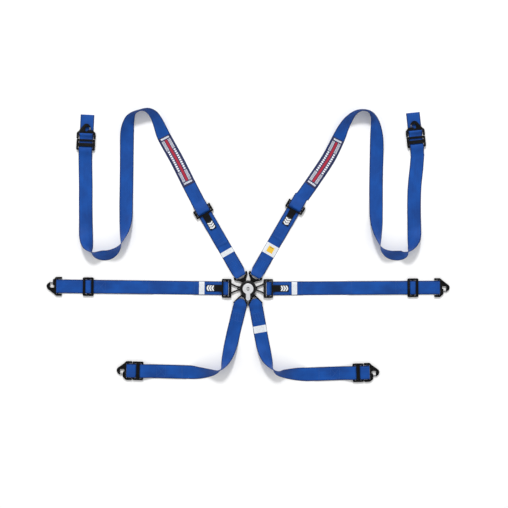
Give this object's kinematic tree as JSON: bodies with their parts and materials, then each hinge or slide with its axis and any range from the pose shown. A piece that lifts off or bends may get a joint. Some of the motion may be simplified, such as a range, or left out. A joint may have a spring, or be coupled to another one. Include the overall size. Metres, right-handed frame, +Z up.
{
  "type": "racing harness",
  "caption": "Cam-lock racing harness with blue shoulder, lap and crotch belts, laid flat, with adjusters, sliders and snap hooks.",
  "frame": {"origin": "centre of the cam lock's back face, on the surface the harness lies on", "axes": "+X to the wearer's left lap belt end as seen from above with the shoulder belts up the page, +Y towards the shoulder belts, +Z up out of the lock's face"},
  "size_m": [1.4719, 0.9942, 0.0508],
  "materials": {
    "webbing_blue": "woven",
    "webbing_black": "woven",
    "patch_navy": "woven",
    "black_steel": "satin",
    "black_coat": "satin",
    "satin_lever": "satin",
    "bright_steel": "satin"
  },
  "bodies": {
    "lock": {"lock_back_plate": "black_coat", "lock_housing": "black_coat", "return_spring": "bright_steel", "latch_shoulder_left": "bright_steel", "latch_shoulder_right": "bright_steel", "latch_lap_left": "bright_steel", "latch_lap_right": "bright_steel", "latch_crotch_left": "bright_steel", "latch_crotch_right": "bright_steel", "lap_tongue_left": "black_steel", "lap_slide_bar_left": "black_steel", "lap_strap_left": "webbing_blue", "lap_slider_left": "black_steel"},
    "lever": {"release_lever": "satin_lever", "lever_base": "black_coat", "cam_rotor": "bright_steel", "lever_screw_upper": "black_steel", "lever_screw_lower": "black_steel"},
    "lap_belt_right": {"lap_tongue_right": "black_steel", "lap_slide_bar_right": "black_steel", "lap_strap_right": "webbing_blue", "lap_slider_right": "black_steel"},
    "shoulder_belt_left": {"shoulder_tongue_left": "black_steel", "shoulder_lower_strap_left": "webbing_blue", "shoulder_adjuster_frame_left": "black_steel", "shoulder_slide_bar_left": "black_steel", "shoulder_upper_strap_left": "webbing_blue", "shoulder_patch_left": "patch_navy", "shoulder_slider_left": "black_steel"},
    "crotch_belt_left": {"crotch_tongue_left": "black_steel", "crotch_strap_left": "webbing_blue", "crotch_slider_left": "black_steel"},
    "shoulder_belt_right": {"shoulder_tongue_right": "black_steel", "shoulder_lower_strap_right": "webbing_blue", "shoulder_adjuster_frame_right": "black_steel", "shoulder_slide_bar_right": "black_steel", "shoulder_upper_strap_right": "webbing_blue", "shoulder_patch_right": "patch_navy", "shoulder_slider_right": "black_steel"},
    "crotch_belt_right": {"crotch_tongue_right": "black_steel", "crotch_strap_right": "webbing_blue", "crotch_slider_right": "black_steel"},
    "lap_left_hook": {"lap_left_hook": "black_steel"},
    "lap_left_gate": {"lap_left_gate": "bright_steel"},
    "lap_right_hook": {"lap_right_hook": "black_steel"},
    "lap_right_gate": {"lap_right_gate": "bright_steel"},
    "shoulder_left_hook": {"shoulder_left_hook": "black_steel"},
    "shoulder_left_gate": {"shoulder_left_gate": "bright_steel"},
    "shoulder_right_hook": {"shoulder_right_hook": "black_steel"},
    "shoulder_right_gate": {"shoulder_right_gate": "bright_steel"},
    "crotch_left_hook": {"crotch_left_hook": "black_steel"},
    "crotch_left_gate": {"crotch_left_gate": "bright_steel"},
    "crotch_right_hook": {"crotch_right_hook": "black_steel"},
    "crotch_right_gate": {"crotch_right_gate": "bright_steel"},
    "lap_pull_tab_left": {"lap_pull_tab_left": "webbing_black"},
    "shoulder_pull_tab_left": {"shoulder_pull_tab_left": "webbing_black"},
    "lap_pull_tab_right": {"lap_pull_tab_right": "webbing_black"},
    "shoulder_pull_tab_right": {"shoulder_pull_tab_right": "webbing_black"}
  },
  "joints": [
    {"name": "lever_turn", "type": "hinge", "parent": "lock", "child": "lever", "pos_m": [0, 0, 0.024], "axis": [0, 0, 1], "range_deg": [-60, 60], "stiffness_Nm_per_rad": 0.6},
    {"name": "shoulder_left_release", "type": "slide", "parent": "lock", "child": "shoulder_belt_left", "axis": [-0.5, 0.866, 0], "range_m": [0, 0.03], "deforming": ["latch_shoulder_left"]},
    {"name": "shoulder_right_release", "type": "slide", "parent": "lock", "child": "shoulder_belt_right", "axis": [0.5, 0.866, 0], "range_m": [0, 0.03], "deforming": ["latch_shoulder_right"]},
    {"name": "lap_right_release", "type": "slide", "parent": "lock", "child": "lap_belt_right", "axis": [1, 0.0052, 0], "range_m": [0, 0.03], "deforming": ["latch_lap_right"]},
    {"name": "crotch_left_release", "type": "slide", "parent": "lock", "child": "crotch_belt_left", "axis": [-0.5736, -0.8192, 0], "range_m": [0, 0.03], "deforming": ["latch_crotch_left"]},
    {"name": "crotch_right_release", "type": "slide", "parent": "lock", "child": "crotch_belt_right", "axis": [0.5736, -0.8192, 0], "range_m": [0, 0.03], "deforming": ["latch_crotch_right"]},
    {"name": "lap_left_hook_swivel", "type": "hinge", "parent": "lock", "child": "lap_left_hook", "pos_m": [-0.69595, 0.0085, 0.0048], "axis": [0.0122, 0.9999, 0], "range_deg": [0, 75]},
    {"name": "lap_left_gate_turn", "type": "hinge", "parent": "lap_left_hook", "child": "lap_left_gate", "pos_m": [-0.71529, 0.02174, 0.0048], "axis": [0, 0, 1], "range_deg": [0, 50], "stiffness_Nm_per_rad": 0.01, "springref_deg": -17.19},
    {"name": "lap_right_hook_swivel", "type": "hinge", "parent": "lap_belt_right", "child": "lap_right_hook", "pos_m": [0.69599, 0.00364, 0.0048], "axis": [0.0052, -1, 0], "range_deg": [0, 75]},
    {"name": "lap_right_gate_turn", "type": "hinge", "parent": "lap_right_hook", "child": "lap_right_gate", "pos_m": [0.71556, -0.00925, 0.0048], "axis": [0, 0, 1], "range_deg": [0, 50], "stiffness_Nm_per_rad": 0.01, "springref_deg": -17.19},
    {"name": "shoulder_left_hook_swivel", "type": "hinge", "parent": "shoulder_belt_left", "child": "shoulder_left_hook", "pos_m": [-0.59095, 0.56242, 0.00665], "axis": [0.9988, -0.0489, 0], "range_deg": [0, 75]},
    {"name": "shoulder_left_gate_turn", "type": "hinge", "parent": "shoulder_left_hook", "child": "shoulder_left_gate", "pos_m": [-0.57701, 0.58127, 0.00665], "axis": [0, 0, 1], "range_deg": [0, 50], "stiffness_Nm_per_rad": 0.01, "springref_deg": -17.19},
    {"name": "shoulder_right_hook_swivel", "type": "hinge", "parent": "shoulder_belt_right", "child": "shoulder_right_hook", "pos_m": [0.61017, 0.57266, 0.00665], "axis": [0.9945, 0.1045, 0], "range_deg": [0, 75]},
    {"name": "shoulder_right_gate_turn", "type": "hinge", "parent": "shoulder_right_hook", "child": "shoulder_right_gate", "pos_m": [0.5952, 0.59069, 0.00665], "axis": [0, 0, -1], "range_deg": [0, 50], "stiffness_Nm_per_rad": 0.01, "springref_deg": -17.19},
    {"name": "crotch_left_hook_swivel", "type": "hinge", "parent": "crotch_belt_left", "child": "crotch_left_hook", "pos_m": [-0.43994, -0.29931, 0.0048], "axis": [0.0279, 0.9996, 0], "range_deg": [0, 75]},
    {"name": "crotch_left_gate_turn", "type": "hinge", "parent": "crotch_left_hook", "child": "crotch_left_gate", "pos_m": [-0.4598, -0.31176, 0.0048], "axis": [0, 0, -1], "range_deg": [0, 50], "stiffness_Nm_per_rad": 0.01, "springref_deg": -17.19},
    {"name": "crotch_right_hook_swivel", "type": "hinge", "parent": "crotch_belt_right", "child": "crotch_right_hook", "pos_m": [0.43938, -0.30604, 0.0048], "axis": [0.0349, -0.9994, 0], "range_deg": [0, 75]},
    {"name": "crotch_right_gate_turn", "type": "hinge", "parent": "crotch_right_hook", "child": "crotch_right_gate", "pos_m": [0.45932, -0.31835, 0.0048], "axis": [0, 0, 1], "range_deg": [0, 50], "stiffness_Nm_per_rad": 0.01, "springref_deg": -17.19},
    {"name": "lap_pull_tab_left_lift", "type": "hinge", "parent": "lock", "child": "lap_pull_tab_left", "pos_m": [-0.09324, 0.00114, 0.00595], "axis": [0.0122, 0.9999, 0], "range_deg": [0, 70]},
    {"name": "shoulder_pull_tab_left_lift", "type": "hinge", "parent": "shoulder_belt_left", "child": "shoulder_pull_tab_left", "pos_m": [-0.15693, 0.2718, 0.00745], "axis": [-0.866, -0.5, 0], "range_deg": [0, 60]},
    {"name": "lap_pull_tab_right_lift", "type": "hinge", "parent": "lap_belt_right", "child": "lap_pull_tab_right", "pos_m": [0.08825, 0.00046, 0.00595], "axis": [0.0052, -1, 0], "range_deg": [0, 70]},
    {"name": "shoulder_pull_tab_right_lift", "type": "hinge", "parent": "shoulder_belt_right", "child": "shoulder_pull_tab_right", "pos_m": [0.16542, 0.28652, 0.00745], "axis": [-0.866, 0.5, 0], "range_deg": [0, 60]}
  ]
}
